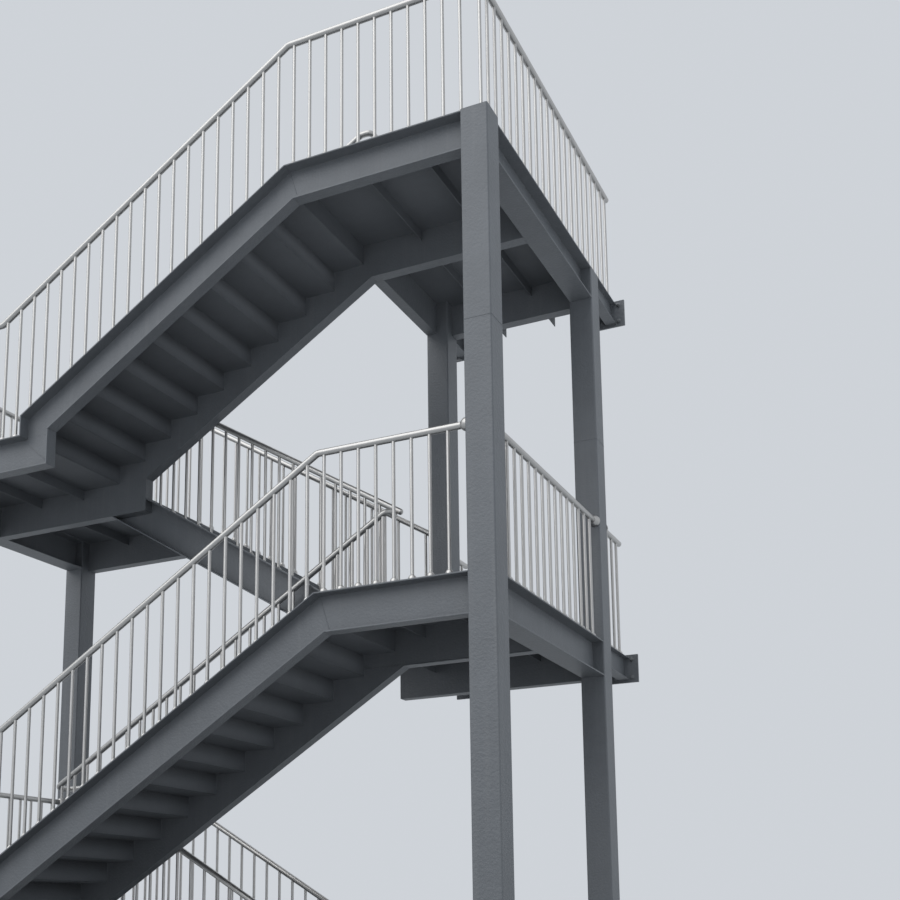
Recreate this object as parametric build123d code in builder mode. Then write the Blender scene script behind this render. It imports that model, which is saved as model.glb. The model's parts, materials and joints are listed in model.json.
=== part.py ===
"""External steel escape stair: two flights a storey between half landings and main landings.

X runs along the building, Y towards its wall and Z up. The origin is on the ground under the
middle of the front right column. The near flights rise to the right, the far ones to the left.
"""

import os
from math import atan, copysign, cos, hypot, pi, sin, tan

from build123d import *

os.makedirs("parts", exist_ok=True)

# Levels and steps
going = 280.0
lower_riser = 173.0
upper_riser = 169.0
flight_1_risers = 11
flight_2_risers = 12
upper_flight_risers = 10

# Plan
stair_length = 5830.0
stair_depth = 2580.0
lower_landing_length = 1400.0
upper_column_gap = 50.0
wall_gap = 520.0

# Columns, strings and beams
column_size = 210.0
beam_depth = 300.0
beam_width = 100.0
beam_inset = 10.0
end_beam_inset = 25.0
flange_width = 200.0
flange_thickness = 12.0
web_thickness = 9.0
cut_reach = 1.0
base_plate_length = 400.0
base_plate_width = 280.0
base_plate_thickness = 25.0
anchor_spacing = 300.0
anchor_hole = 26.0
foot_plate_margin = 30.0
foot_plate_thickness = 20.0

# Floor plates, steps and joists
deck_thickness = 6.0
step_thickness = 6.0
step_seam = 0.5
joist_depth = 90.0
joist_thickness = 8.0
joist_spacing = 500.0

# Wall ties
tie_depth = 200.0
tie_width = 100.0
tie_flange = 8.0
tie_web = 6.0
wall_plate_width = 260.0
wall_plate_height = 250.0
wall_plate_thickness = 20.0
wall_plate_rise = 25.0
wall_hole = 22.0
wall_hole_gauge = 150.0
wall_hole_pitch = 160.0
bridge_gap = 10.0

# Railings
rail_diameter = 51.0
rail_height = 1069.0
inner_rail_height = 1044.0
bar_diameter = 24.0
bar_offset = 55.0
end_rail_inset = 70.0
rail_end_gap = 55.0
rail_turn = 45.0
inner_rail_gap = 3.0
rail_seam = 0.5
foot_rail_overhang = 120.0

# Lines across the stair
right_face = column_size / 2
front_face = -column_size / 2
back_face = front_face + stair_depth
middle = (front_face + back_face) / 2
near_outer = front_face + beam_inset
far_outer = back_face - beam_inset - beam_width
inner = middle - beam_width / 2
near_walk = (near_outer + beam_width, inner)
far_walk = (inner + beam_width, far_outer)
back_column_y = back_face - column_size
front_column_back = front_face + column_size
wall_face = back_face + wall_gap + wall_plate_thickness

# Lines along the stair
left_face = right_face - stair_length
right_column_x = right_face - column_size
back_right_x = right_column_x - end_beam_inset
right_beam_x = right_face - end_beam_inset - flange_width
left_column_x = left_face + column_size
left_beam_x = left_face + end_beam_inset + flange_width

# Levels of the landings, and the edges where the flights meet them
half_lower_level = flight_1_risers * lower_riser
main_lower_level = half_lower_level + flight_2_risers * lower_riser
half_upper_level = main_lower_level + upper_flight_risers * upper_riser
top_level = half_upper_level + upper_flight_risers * upper_riser
main_lower_edge = right_face - lower_landing_length
half_lower_edge = main_lower_edge - (flight_2_risers - 1) * going
foot_edge = half_lower_edge + (flight_1_risers - 1) * going
half_upper_edge = foot_edge - (upper_flight_risers - 1) * going
upper_column_x = foot_edge + upper_column_gap


class Flight:
    """A flight between two edges; its steps fall away from the upper edge."""

    def __init__(self, number, riser, upper_edge, upper_level, foot, foot_level):
        self.number = number
        self.riser = riser
        self.edge = upper_edge
        self.top = upper_level
        self.foot = foot
        self.level = foot_level
        self.down = 1 if foot > upper_edge else -1
        self.count = round((upper_level - foot_level) / riser)
        self.slope = riser / going
        angle = atan(self.slope)
        self.mitre = beam_depth * tan(angle / 2)
        self.heel = (beam_depth / cos(angle) - riser) / self.slope

    def x(self, distance):
        """Where a distance down the flight from its upper edge lies along X."""
        return self.edge + self.down * distance

    @property
    def run(self):
        """Length of the flight in plan."""
        return (self.count - 1) * going

    def line(self, distance):
        """Height of the line over the noses of the steps, level beyond either end."""
        if distance <= 0:
            return self.top
        return max(self.top - self.slope * distance, self.level)

    def tread(self, distance):
        """Height of the tread, or of the landing, at a distance."""
        if distance <= 0:
            return self.top
        if distance >= self.run:
            return self.level
        return self.top - (int(distance // going) + 1) * self.riser


flight_1 = Flight(1, lower_riser, half_lower_edge, half_lower_level, foot_edge, 0.0)
flight_2 = Flight(
    2, lower_riser, main_lower_edge, main_lower_level, half_lower_edge, half_lower_level
)
flight_3 = Flight(3, upper_riser, half_upper_edge, half_upper_level, foot_edge, main_lower_level)
flight_4 = Flight(4, upper_riser, foot_edge, top_level, half_upper_edge, half_upper_level)


def save(piece, name):
    """Labels a finished piece and writes it."""
    piece.part.label = name
    export_step(piece.part, f"parts/{name}.step")


def side_plane(y):
    """An upright plane along the stair, its local axes X and Z."""
    return Plane.XZ.offset(-y)


def add_profile(points, y, width, mode=Mode.ADD):
    """Adds a prism to the piece: an outline in X and Z, from y to y + width."""
    with BuildSketch(side_plane(y)) as profile:
        with BuildLine():
            Polyline(*points, close=True)
        make_face()
    extrude(profile.sketch, amount=-width, mode=mode)


def add_block(x, y, z, mode=Mode.ADD):
    """Adds a block to the piece, between the pairs of coordinates x, y and z."""
    with BuildSketch(Plane.XY.offset(z[0])) as plan:
        with Locations(((x[0] + x[1]) / 2, (y[0] + y[1]) / 2)):
            Rectangle(abs(x[1] - x[0]), abs(y[1] - y[0]))
    extrude(plan.sketch, amount=z[1] - z[0], mode=mode)


# Columns
def column(name, x, y, foot, top, plate=True):
    """A square column from foot to top, its corner of least X and Y at (x, y)."""
    centre = (x + column_size / 2, y + column_size / 2)
    with BuildPart() as post:
        with BuildSketch(Plane.XY.offset(foot)):
            with Locations(centre):
                Rectangle(column_size, column_size)
        extrude(amount=top - foot)
        if plate:
            with BuildSketch(Plane.XY.offset(foot)):
                with Locations(centre):
                    Rectangle(base_plate_length, base_plate_width)
                    with GridLocations(anchor_spacing, 0, 2, 1):
                        Circle(anchor_hole / 2, mode=Mode.SUBTRACT)
            extrude(amount=base_plate_thickness)
    save(post, name)


column("column_front_right", right_column_x, front_face, 0, top_level)
column("column_back_right", back_right_x, back_column_y, 0, top_level)
column("column_front_left", left_face, front_face, 0, half_upper_level)
column("column_back_left", left_face, back_column_y, 0, half_upper_level)
column("column_upper_back", upper_column_x, back_column_y, main_lower_level, top_level, plate=False)


# Channels: a web on the side of the steps, and flanges that face away from them
near_side = -1
far_side = 1


def hollow_outline(points, open_sides):
    """Outline of a channel's hollow: a flange in from each side, and just past the open ones."""
    count = len(points)
    turned = sum(
        points[i][0] * points[(i + 1) % count][1] - points[(i + 1) % count][0] * points[i][1]
        for i in range(count)
    )
    sides = []
    for i in range(count):
        (x, z), (x_end, z_end) = points[i], points[(i + 1) % count]
        length = hypot(x_end - x, z_end - z)
        inwards = copysign(1, turned)
        normal = (-(z_end - z) / length * inwards, (x_end - x) / length * inwards)
        shift = -cut_reach if i in open_sides else flange_thickness
        sides.append((*normal, normal[0] * x + normal[1] * z + shift))
    corners = []
    for i in range(count):
        (a, b, c), (d, e, f) = sides[i - 1], sides[i]
        across = a * e - b * d
        corners.append(((c * e - b * f) / across, (a * f - c * d) / across))
    return corners


def add_channel(points, hollow, y, toes):
    """Adds a channel by its outline and the outline of its hollow, which opens to one side."""
    add_profile(points, y, beam_width)
    start = y + web_thickness if toes == far_side else y - cut_reach
    add_profile(hollow, start, beam_width - web_thickness + cut_reach, Mode.SUBTRACT)


# Strings of the flights, cut level and upright at their ends
def string_outline(flight, upper_end):
    """Outline of a string from the points of its upper end down to its foot."""
    along = flight.run
    return [(flight.x(distance), z) for distance, z in upper_end] + [
        (flight.x(along - flight.heel), flight.level),
        (flight.x(along), flight.level),
        (flight.x(along), flight.level + flight.riser),
    ]


def mitred_end(flight):
    """Upper end mitred to the beam of the landing, which it meets at the edge."""
    return [(0, flight.top), (-flight.mitre, flight.top - beam_depth)]


def end_against_beam(flight, beam_end):
    """Upper end that stops at the end of a beam and runs on under it."""
    return [
        (beam_end, flight.line(beam_end)),
        (beam_end, flight.top - beam_depth),
        (-flight.mitre, flight.top - beam_depth),
    ]


def end_under_beam(flight):
    """Upper end cut level under a beam."""
    reach = beam_depth / flight.slope
    return [(reach, flight.top - beam_depth), (-flight.mitre, flight.top - beam_depth)]


def strings(flight, outer_y, inner_end, foot_plates=False):
    """Writes the outer and the inner string of a flight."""
    outer_toes = near_side if outer_y < inner else far_side
    with BuildPart() as pair:
        for y, end, toes in (
            (outer_y, mitred_end(flight), outer_toes),
            (inner, inner_end, -outer_toes),
        ):
            outline = string_outline(flight, end)
            foot = len(end)
            open_sides = (*range(foot - 1), foot)
            add_channel(outline, hollow_outline(outline, open_sides), y, toes)
            if foot_plates:
                heel = flight.x(flight.run - flight.heel)
                add_block(
                    (heel - foot_plate_margin, flight.foot - foot_plate_margin),
                    (y - foot_plate_margin, y + beam_width + foot_plate_margin),
                    (0, foot_plate_thickness),
                )
    save(pair, f"flight_{flight.number}_strings")


strings(flight_1, far_outer, end_against_beam(flight_1, flight_2.heel), foot_plates=True)
strings(flight_2, near_outer, end_under_beam(flight_2))
strings(flight_3, far_outer, end_against_beam(flight_3, flight_4.heel))
strings(flight_4, near_outer, mitred_end(flight_4))


# Steps: folded plates, each a tread with the riser under its nose
def steps(flight, across):
    """Writes the steps of a flight, and the riser under the edge of its upper landing."""
    y, y_end = across
    inside = step_thickness
    with BuildPart() as folded:
        outlines = [
            [
                (0, flight.top),
                (0, flight.top - flight.riser + step_seam),
                (-inside, flight.top - flight.riser + step_seam),
                (-inside, flight.top),
            ]
        ]
        for step in range(1, flight.count):
            back = (step - 1) * going
            nose = back + going
            tread = flight.top - step * flight.riser
            outlines.append(
                [
                    (back - inside, tread),
                    (nose, tread),
                    (nose, tread - flight.riser + step_seam),
                    (nose - inside, tread - flight.riser + step_seam),
                    (nose - inside, tread - inside),
                    (back - inside, tread - inside),
                ]
            )
        for outline in outlines:
            add_profile([(flight.x(distance), z) for distance, z in outline], y, y_end - y)
    save(folded, f"flight_{flight.number}_steps")


steps(flight_1, far_walk)
steps(flight_2, near_walk)
steps(flight_3, far_walk)
steps(flight_4, near_walk)


# Beams along the landings, which carry on from the strings
def level_beam(start, end, level, y, toes):
    """Adds a beam along X, open at both ends."""
    low = level - beam_depth
    outline = [(start, level), (end, level), (end, low), (start, low)]
    add_channel(outline, hollow_outline(outline, (1, 3)), y, toes)


def carrying_beam(start, flight, level, y, toes):
    """Adds a beam along X from its start to the heel of a string, whose web it carries on."""
    low = level - beam_depth
    end = flight.x(flight.run - flight.heel)
    outline = [(start, level), (end, level), (end, low), (start, low)]
    ahead = -flight.down
    first = start - ahead * cut_reach
    step = flight.x(flight.run) + ahead * flange_thickness
    last = end - ahead * flange_thickness
    under = level - flange_thickness
    above = low + flange_thickness
    hollow = [
        (first, under),
        (step, under),
        (step, level + cut_reach),
        (last, level + cut_reach),
        (last, above),
        (first, above),
    ]
    add_channel(outline, hollow, y, toes)


def mitred_beam(flight, end, y, toes):
    """Adds a beam from the mitre of a string to its square end."""
    lean = -flight.down * flight.mitre
    level = flight.top
    low = level - beam_depth
    outline = [(flight.edge, level), (end, level), (end, low), (flight.edge + lean, low)]
    add_channel(outline, hollow_outline(outline, (1, 3)), y, toes)


def half_landing_beams(name, near_flight, far_flight):
    """The beams of a half landing: front and middle carry the flight above, the back one ends."""
    level = far_flight.top
    with BuildPart() as beams:
        carrying_beam(left_column_x, near_flight, level, near_outer, near_side)
        carrying_beam(left_beam_x, near_flight, level, inner, far_side)
        mitred_beam(far_flight, left_column_x, far_outer, far_side)
    save(beams, name)


half_landing_beams("half_landing_lower_beams", flight_2, flight_1)
half_landing_beams("half_landing_upper_beams", flight_4, flight_3)

with BuildPart() as main_beams:
    mitred_beam(flight_2, right_column_x, near_outer, near_side)
    carrying_beam(right_beam_x, flight_3, main_lower_level, inner, near_side)
    carrying_beam(back_right_x, flight_3, main_lower_level, far_outer, far_side)
save(main_beams, "main_landing_beams")

with BuildPart() as top_beams:
    mitred_beam(flight_4, right_column_x, near_outer, near_side)
    mitred_beam(flight_4, right_beam_x, inner, far_side)
    level_beam(upper_column_x + column_size, back_right_x, top_level, far_outer, far_side)
save(top_beams, "top_landing_beams")


# Rolled beams across the ends of the landings
def rolled_beam(x, y_start, y_end, top, depth, width, flange, web):
    """Adds a beam along Y with two flanges and a web, from x to x + width."""
    centre = x + width / 2
    with BuildSketch(side_plane(y_start)) as section:
        with Locations((centre, top - depth / 2)):
            Rectangle(width, depth)
        for side in (-1, 1):
            with Locations((centre + side * (width + web) / 4, top - depth / 2)):
                Rectangle((width - web) / 2, depth - 2 * flange, mode=Mode.SUBTRACT)
    extrude(section.sketch, amount=-(y_end - y_start))


def end_beam(name, x, level):
    """A rolled beam between the two columns at the end of a landing."""
    with BuildPart() as beam:
        rolled_beam(
            x,
            front_column_back,
            back_column_y,
            level,
            beam_depth,
            flange_width,
            flange_thickness,
            web_thickness,
        )
    save(beam, name)


end_beam("half_landing_lower_end_beam", left_beam_x - flange_width, half_lower_level)
end_beam("half_landing_upper_end_beam", left_beam_x - flange_width, half_upper_level)
end_beam("main_landing_end_beam", right_beam_x, main_lower_level)
end_beam("top_landing_end_beam", right_beam_x, top_level)

across = (far_walk[0], back_column_y)
with BuildPart() as open_side_beam:
    add_block(
        (upper_column_x, upper_column_x + beam_width),
        across,
        (top_level - beam_depth, top_level),
    )
    add_block(
        (upper_column_x - cut_reach, upper_column_x + beam_width - web_thickness),
        across,
        (top_level - beam_depth + flange_thickness, top_level - flange_thickness),
        Mode.SUBTRACT,
    )
save(open_side_beam, "top_landing_open_side_beam")


# Floor plates with the joists under them
def plate(x, y, level):
    """Adds a floor plate, its top at the level."""
    add_block(x, y, (level - deck_thickness, level))


def joists(first, count, y, level):
    """Adds joists across a floor plate at the joist spacing, from first towards its other end."""
    spacing = joist_spacing if first < (left_face + right_face) / 2 else -joist_spacing
    bottom = level - deck_thickness - joist_depth
    for i in range(count):
        x = first + i * spacing
        add_block(
            (x - joist_thickness / 2, x + joist_thickness / 2), y, (bottom, level - deck_thickness)
        )


def half_landing_deck(name, edge, level):
    """The two floor plates of a half landing."""
    count = int((edge - left_beam_x) / joist_spacing)
    with BuildPart() as deck:
        for y, end in ((near_walk, edge), (far_walk, edge - step_thickness)):
            plate((left_beam_x, end), y, level)
            joists(left_beam_x + joist_spacing, count, y, level)
    save(deck, name)


half_landing_deck("half_landing_lower_deck", half_lower_edge, half_lower_level)
half_landing_deck("half_landing_upper_deck", half_upper_edge, half_upper_level)

first_joist = right_beam_x + flange_width / 2 - joist_spacing
right_tie_x = right_face - end_beam_inset - tie_width
bridge_end = wall_face - wall_plate_thickness - bridge_gap
back_beam_face = far_outer + beam_width


def bridge_deck(level):
    """Adds the floor plate from the back beam to the wall, between the ties."""
    plate((upper_column_x + tie_width, right_tie_x), (back_face, bridge_end), level)
    plate((upper_column_x + column_size, back_right_x), (back_beam_face, back_face), level)
    joists(first_joist, 2, (back_face, bridge_end), level)


with BuildPart() as main_deck:
    plate((main_lower_edge + step_thickness, right_beam_x), near_walk, main_lower_level)
    plate((foot_edge, right_beam_x), (far_walk[0], back_column_y), main_lower_level)
    plate((foot_edge, back_right_x), (back_column_y, far_walk[1]), main_lower_level)
    joists(first_joist, 2, near_walk, main_lower_level)
    joists(first_joist, 3, far_walk, main_lower_level)
    bridge_deck(main_lower_level)
save(main_deck, "main_landing_deck")

with BuildPart() as top_deck:
    plate((foot_edge + step_thickness, right_beam_x), near_walk, top_level)
    plate((upper_column_x + beam_width, right_beam_x), (far_walk[0], back_column_y), top_level)
    plate((upper_column_x + column_size, back_right_x), (back_column_y, far_walk[1]), top_level)
    joists(first_joist, 2, near_walk, top_level)
    joists(first_joist, 2, far_walk, top_level)
    bridge_deck(top_level)
save(top_deck, "top_landing_deck")


# Ties to the wall: short rolled beams with bolted end plates
def wall_tie(x, y_start, level):
    """Adds a tie from the stair to the wall, and its plate."""
    y_end = wall_face - wall_plate_thickness
    rolled_beam(x, y_start, y_end, level, tie_depth, tie_width, tie_flange, tie_web)
    with BuildSketch(side_plane(y_end)) as wall_plate:
        with Locations((x + tie_width / 2, level + wall_plate_rise - wall_plate_height / 2)):
            Rectangle(wall_plate_width, wall_plate_height)
            with GridLocations(wall_hole_gauge, wall_hole_pitch, 2, 2):
                Circle(wall_hole / 2, mode=Mode.SUBTRACT)
    extrude(wall_plate.sketch, amount=-wall_plate_thickness)


with BuildPart() as main_ties:
    wall_tie(right_tie_x, back_face, main_lower_level)
    wall_tie(upper_column_x, back_beam_face, main_lower_level)
save(main_ties, "main_landing_wall_ties")

with BuildPart() as top_ties:
    wall_tie(right_tie_x, back_face, top_level)
    wall_tie(upper_column_x, back_face, top_level)
save(top_ties, "top_landing_wall_ties")


# Railings: upright bars under a handrail
bar_spacing = going / 2
rail_radius = rail_diameter / 2
rail_axis = rail_height - rail_radius
inner_rail_axis = inner_rail_height - rail_radius


def bar(x, y, foot, top, slope=0, heading=0):
    """Adds a bar from a surface that rises by slope along X, up into the handrail.

    Two of its corners lie along the handrail, whose heading is an angle from X.
    """
    lean = hypot(1, slope)
    seat = Plane((x, y, foot), x_dir=(1, 0, slope), z_dir=(-slope, 0, 1))
    turns = [heading + i * pi / 3 for i in range(6)]
    corners = [(cos(turn) * lean, sin(turn)) for turn in turns]
    with BuildSketch(seat) as section:
        with BuildLine():
            Polyline(*[(u * bar_diameter / 2, v * bar_diameter / 2) for u, v in corners], close=True)
        make_face()
    extrude(section.sketch, amount=top - foot, dir=(0, 0, 1))


def handrail(points):
    """Adds the handrail along a line of points, mitred at its bends."""
    along = (Vector(*points[1]) - Vector(*points[0])).normalized()
    with BuildLine() as route:
        Polyline(*points)
    with BuildSketch(Plane(points[0], x_dir=along.cross(Vector(0, 0, 1)), z_dir=along)) as section:
        RegularPolygon(rail_radius, 8, major_radius=False, rotation=22.5)
    sweep(section.sketch, path=route.wires()[0], transition=Transition.RIGHT)


def cut_seam(x, y, low):
    """Parts the panels of a railing at an upright seam across its handrail."""
    with BuildSketch(Plane.YZ.offset(x - rail_seam / 2)) as seam:
        with Locations((y, low + rail_height / 2)):
            Rectangle(2 * rail_diameter, 2 * rail_height)
    extrude(seam.sketch, amount=rail_seam, mode=Mode.SUBTRACT)


def distances(start, end):
    """Distances of the bars down a flight, negative on its upper landing."""
    first = int((start + bar_offset) // bar_spacing) + 1
    spots = []
    spot = first * bar_spacing - bar_offset
    while spot < end:
        spots.append(spot)
        spot += bar_spacing
    return spots


def outer_bars(flight, y, start, end):
    """Adds bars on the outer string and the beams that carry on from it."""
    for distance in distances(start, end):
        on_string = 0 < distance < flight.run
        slope = -flight.down * flight.slope if on_string else 0
        foot = flight.line(distance) if distance < flight.run else flight.level
        axis = flight.line(distance) + rail_axis
        bar(flight.x(distance), y, foot, axis, slope)


def inner_bars(flight, y, start, end):
    """Adds bars on the ends of the treads, along the middle of the stair."""
    for distance in distances(start, end):
        axis = flight.line(distance) + inner_rail_axis
        bar(flight.x(distance), y, flight.tread(distance), axis)


def rail_points(flight, y, axis, start, end):
    """Points of a handrail from start to end, with its bends at the ends of the flight."""
    bends = [d for d in (0, flight.run + going) if start < d < end]
    return [(flight.x(d), y, flight.line(d) + axis) for d in [start, *bends, end]]


def end_bars(x, start, end, level, axis=rail_axis):
    """Adds bars along Y at the bar spacing."""
    for i in range(int((end - start) / bar_spacing) + 1):
        bar(x, start + i * bar_spacing, level, level + axis, heading=pi / 2)


near_rail_y = near_outer + beam_width / 2
far_rail_y = far_outer + beam_width / 2
near_inner_rail_y = inner - rail_radius - inner_rail_gap
far_inner_rail_y = inner + beam_width + rail_radius + inner_rail_gap
end_rail_x = right_face - end_rail_inset
left_rail_x = left_face + end_rail_inset
guard_x = upper_column_x + beam_width / 2
rail_end = wall_face - rail_end_gap
corner = rail_diameter

# Outer railings of the near flights, on to the landings at both ends
for flight, left_end, right_end in (
    (flight_2, left_column_x, right_column_x),
    (flight_4, left_rail_x + corner, end_rail_x - corner),
):
    start = flight.edge - right_end
    end = flight.edge - left_end
    with BuildPart() as rail:
        outer_bars(flight, near_rail_y, start + bar_diameter, end - bar_diameter)
        handrail(rail_points(flight, near_rail_y, rail_axis, start, end))
        cut_seam(flight.edge, near_rail_y, flight.top)
        cut_seam(flight.x(flight.run + going), near_rail_y, flight.level)
    save(rail, f"railing_flight_{flight.number}_outer")

# Outer railings of the far flights
for flight, left_end, right_end in (
    (flight_1, left_column_x, foot_edge + foot_rail_overhang),
    (flight_3, left_rail_x + corner, upper_column_x - rail_radius * flight_3.slope),
):
    start = left_end - flight.edge
    end = right_end - flight.edge
    last_bar = flight.run
    with BuildPart() as rail:
        outer_bars(flight, far_rail_y, start + bar_diameter, last_bar)
        handrail(rail_points(flight, far_rail_y, rail_axis, start, end))
        cut_seam(flight.edge, far_rail_y, flight.top)
    save(rail, f"railing_flight_{flight.number}_outer")

# Inner railings, which turn from one flight to the next over the landings
turn_y = far_inner_rail_y - rail_radius
for flight, top_end in ((flight_2, rail_turn), (flight_4, flight_4.edge - guard_x + corner)):
    low_end = flight.run + going
    points = rail_points(flight, near_inner_rail_y, inner_rail_axis, top_end, low_end)
    points.append((flight.x(low_end), turn_y, points[-1][2]))
    if flight.number == 2:
        points.insert(0, (flight.x(top_end), turn_y, points[0][2]))
    with BuildPart() as rail:
        inner_bars(flight, near_inner_rail_y, top_end, low_end)
        handrail(points)
    save(rail, f"railing_flight_{flight.number}_inner")

for flight, end in ((flight_1, flight_1.run + foot_rail_overhang), (flight_3, flight_3.run + going)):
    last_bar = flight.run if flight.number == 1 else end - rail_turn
    with BuildPart() as rail:
        inner_bars(flight, far_inner_rail_y, -going + bar_diameter, last_bar)
        handrail(rail_points(flight, far_inner_rail_y, inner_rail_axis, -going - rail_radius, end))
        cut_seam(flight.edge, far_inner_rail_y, flight.top)
    save(rail, f"railing_flight_{flight.number}_inner")

# Railings across the ends of the landings
with BuildPart() as rail:
    end_bars(end_rail_x, near_rail_y, rail_end, top_level)
    handrail(
        [
            (end_rail_x - corner, near_rail_y, top_level + rail_axis),
            (end_rail_x, near_rail_y, top_level + rail_axis),
            (end_rail_x, rail_end, top_level + rail_axis),
        ]
    )
save(rail, "railing_top_landing_end")

with BuildPart() as rail:
    end_bars(
        guard_x, far_walk[0] + bar_spacing / 2, rail_end - bar_offset, top_level, inner_rail_axis
    )
    handrail(
        [
            (guard_x - corner, near_inner_rail_y, top_level + inner_rail_axis),
            (guard_x, near_inner_rail_y, top_level + inner_rail_axis),
            (guard_x, rail_end, top_level + inner_rail_axis),
        ]
    )
save(rail, "railing_top_landing_open_side")

with BuildPart() as rail:
    end_bars(left_rail_x, near_rail_y, far_rail_y, half_upper_level)
    handrail(
        [
            (left_rail_x + corner, near_rail_y, half_upper_level + rail_axis),
            (left_rail_x, near_rail_y, half_upper_level + rail_axis),
            (left_rail_x, far_rail_y, half_upper_level + rail_axis),
            (left_rail_x + corner, far_rail_y, half_upper_level + rail_axis),
        ]
    )
save(rail, "railing_half_landing_upper_end")

for name, x, level in (
    ("half_landing_lower", left_rail_x, half_lower_level),
    ("main_landing", end_rail_x, main_lower_level),
):
    with BuildPart() as rail:
        end_bars(x, front_column_back + bar_offset, back_column_y - bar_diameter, level)
        handrail([(x, front_column_back, level + rail_axis), (x, back_column_y, level + rail_axis)])
    save(rail, f"railing_{name}_end")

with BuildPart() as rail:
    for x in (end_rail_x, guard_x):
        end_bars(x, back_face + 2 * bar_offset, rail_end - bar_offset, main_lower_level)
        handrail(
            [
                (x, back_face, main_lower_level + rail_axis),
                (x, rail_end, main_lower_level + rail_axis),
            ]
        )
save(rail, "railing_main_landing_wall_side")
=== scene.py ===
# %% [markdown]
# An outside escape stair of painted steel with stainless railings.
# The measured steelwork comes first: it is loaded as a fixed frame, and everything made here
# is laid over it in the same place and at the same size.

# %% Load the measured stair
import json
import math

import bpy
from mathutils import Matrix, Vector

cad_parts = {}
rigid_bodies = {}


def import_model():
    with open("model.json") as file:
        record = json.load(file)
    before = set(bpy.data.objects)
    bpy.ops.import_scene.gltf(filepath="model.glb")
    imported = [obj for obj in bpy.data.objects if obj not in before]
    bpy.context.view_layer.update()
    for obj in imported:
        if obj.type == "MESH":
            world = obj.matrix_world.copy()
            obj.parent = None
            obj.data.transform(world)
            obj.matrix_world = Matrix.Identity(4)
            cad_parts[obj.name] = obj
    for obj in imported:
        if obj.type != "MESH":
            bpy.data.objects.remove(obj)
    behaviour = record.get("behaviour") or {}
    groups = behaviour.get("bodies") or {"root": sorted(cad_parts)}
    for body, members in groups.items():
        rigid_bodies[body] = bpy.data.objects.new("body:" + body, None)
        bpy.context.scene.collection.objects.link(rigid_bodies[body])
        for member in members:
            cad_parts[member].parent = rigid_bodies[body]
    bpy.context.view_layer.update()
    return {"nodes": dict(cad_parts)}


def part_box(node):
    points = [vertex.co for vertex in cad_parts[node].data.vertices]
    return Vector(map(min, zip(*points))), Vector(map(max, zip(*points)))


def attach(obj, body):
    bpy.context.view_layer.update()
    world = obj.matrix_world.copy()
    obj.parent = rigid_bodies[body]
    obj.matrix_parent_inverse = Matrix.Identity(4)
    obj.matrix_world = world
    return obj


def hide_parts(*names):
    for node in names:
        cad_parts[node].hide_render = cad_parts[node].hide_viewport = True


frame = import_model()
nodes = frame["nodes"]

# %% [markdown]
# The camera stands low before the right end of the stair and looks up at it. Its place and lens
# were worked out from the straight edges in the photograph. The lens is shifted, because the
# picture shows what lies above the horizon and little below it.

# %% Camera
camera_place = Vector((3.047, -7.2152, 1.626))
camera_yaw, camera_pitch, camera_roll = (math.radians(a) for a in (-23.683, 9.364, -0.947))

ahead = Vector(
    (
        math.sin(camera_yaw) * math.cos(camera_pitch),
        math.cos(camera_yaw) * math.cos(camera_pitch),
        math.sin(camera_pitch),
    )
)
level_right = Vector((math.cos(camera_yaw), -math.sin(camera_yaw), 0))
level_up = level_right.cross(ahead)
right = math.cos(camera_roll) * level_right + math.sin(camera_roll) * level_up
up = math.cos(camera_roll) * level_up - math.sin(camera_roll) * level_right

bpy.ops.object.camera_add(location=camera_place)
camera = bpy.context.object
camera.name = "camera"
camera.rotation_euler = Matrix((right, up, -ahead)).transposed().to_euler()
camera.data.sensor_width = 36
camera.data.lens = 48.57
camera.data.shift_x = -0.0269
camera.data.shift_y = 0.3094
camera.data.clip_end = 200
scene = bpy.context.scene
scene.camera = camera
print("camera at", [round(v, 2) for v in camera.location])

# %% [markdown]
# A soft, cloudy sky lights the stair, as in the photograph. It could be one plain colour, but then
# a paler backdrop would light the stair more. So the sky is two: a bluish dome that gives the
# light, and a backdrop that only the camera and reflections see.

# %% Sky
scene.view_settings.view_transform = "Standard"
world = bpy.data.worlds.new("cloudy_sky")
world.use_nodes = True
scene.world = world


def add_node(tree, kind, **settings):
    """Adds a shader node; a setting is an attribute, or a value for the input of that name."""
    node = tree.nodes.new(kind)
    for name, value in settings.items():
        if hasattr(node, name):
            setattr(node, name, value)
        else:
            node.inputs[name.replace("_", " ")].default_value = value
    return node


def wire(tree, source, out, target, into):
    """Connects an output to an input, each given by name or number."""
    tree.links.new(source.outputs[out], target.inputs[into])


def seen_mask(tree):
    """Puts out 1 where the camera, a reflection or a view through glass sees the surface."""
    path = add_node(tree, "ShaderNodeLightPath")
    first = add_node(tree, "ShaderNodeMath", operation="MAXIMUM")
    both = add_node(tree, "ShaderNodeMath", operation="MAXIMUM")
    wire(tree, path, "Is Camera Ray", first, 0)
    wire(tree, path, "Is Glossy Ray", first, 1)
    wire(tree, first, 0, both, 0)
    wire(tree, path, "Is Transmission Ray", both, 1)
    return both


tree = world.node_tree
tree.nodes.clear()
out = add_node(tree, "ShaderNodeOutputWorld")
mix = add_node(tree, "ShaderNodeMixShader")
glow = add_node(tree, "ShaderNodeBackground", Color=(0.86, 0.93, 1.0, 1), Strength=0.62)
backdrop = add_node(tree, "ShaderNodeBackground", Color=(0.62, 0.65, 0.69, 1), Strength=1.0)
wire(tree, seen_mask(tree), 0, mix, 0)
wire(tree, glow, 0, mix, 1)
wire(tree, backdrop, 0, mix, 2)
wire(tree, mix, 0, out, 0)
print("sky nodes", len(tree.nodes))

# %% [markdown]
# One very wide lamp from the upper left gives the light a direction without hard shadows. The
# floor is pale to look at, but gives back less light, and least of all close to the stair, so
# that the undersides stay as dark as in the photograph.

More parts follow.
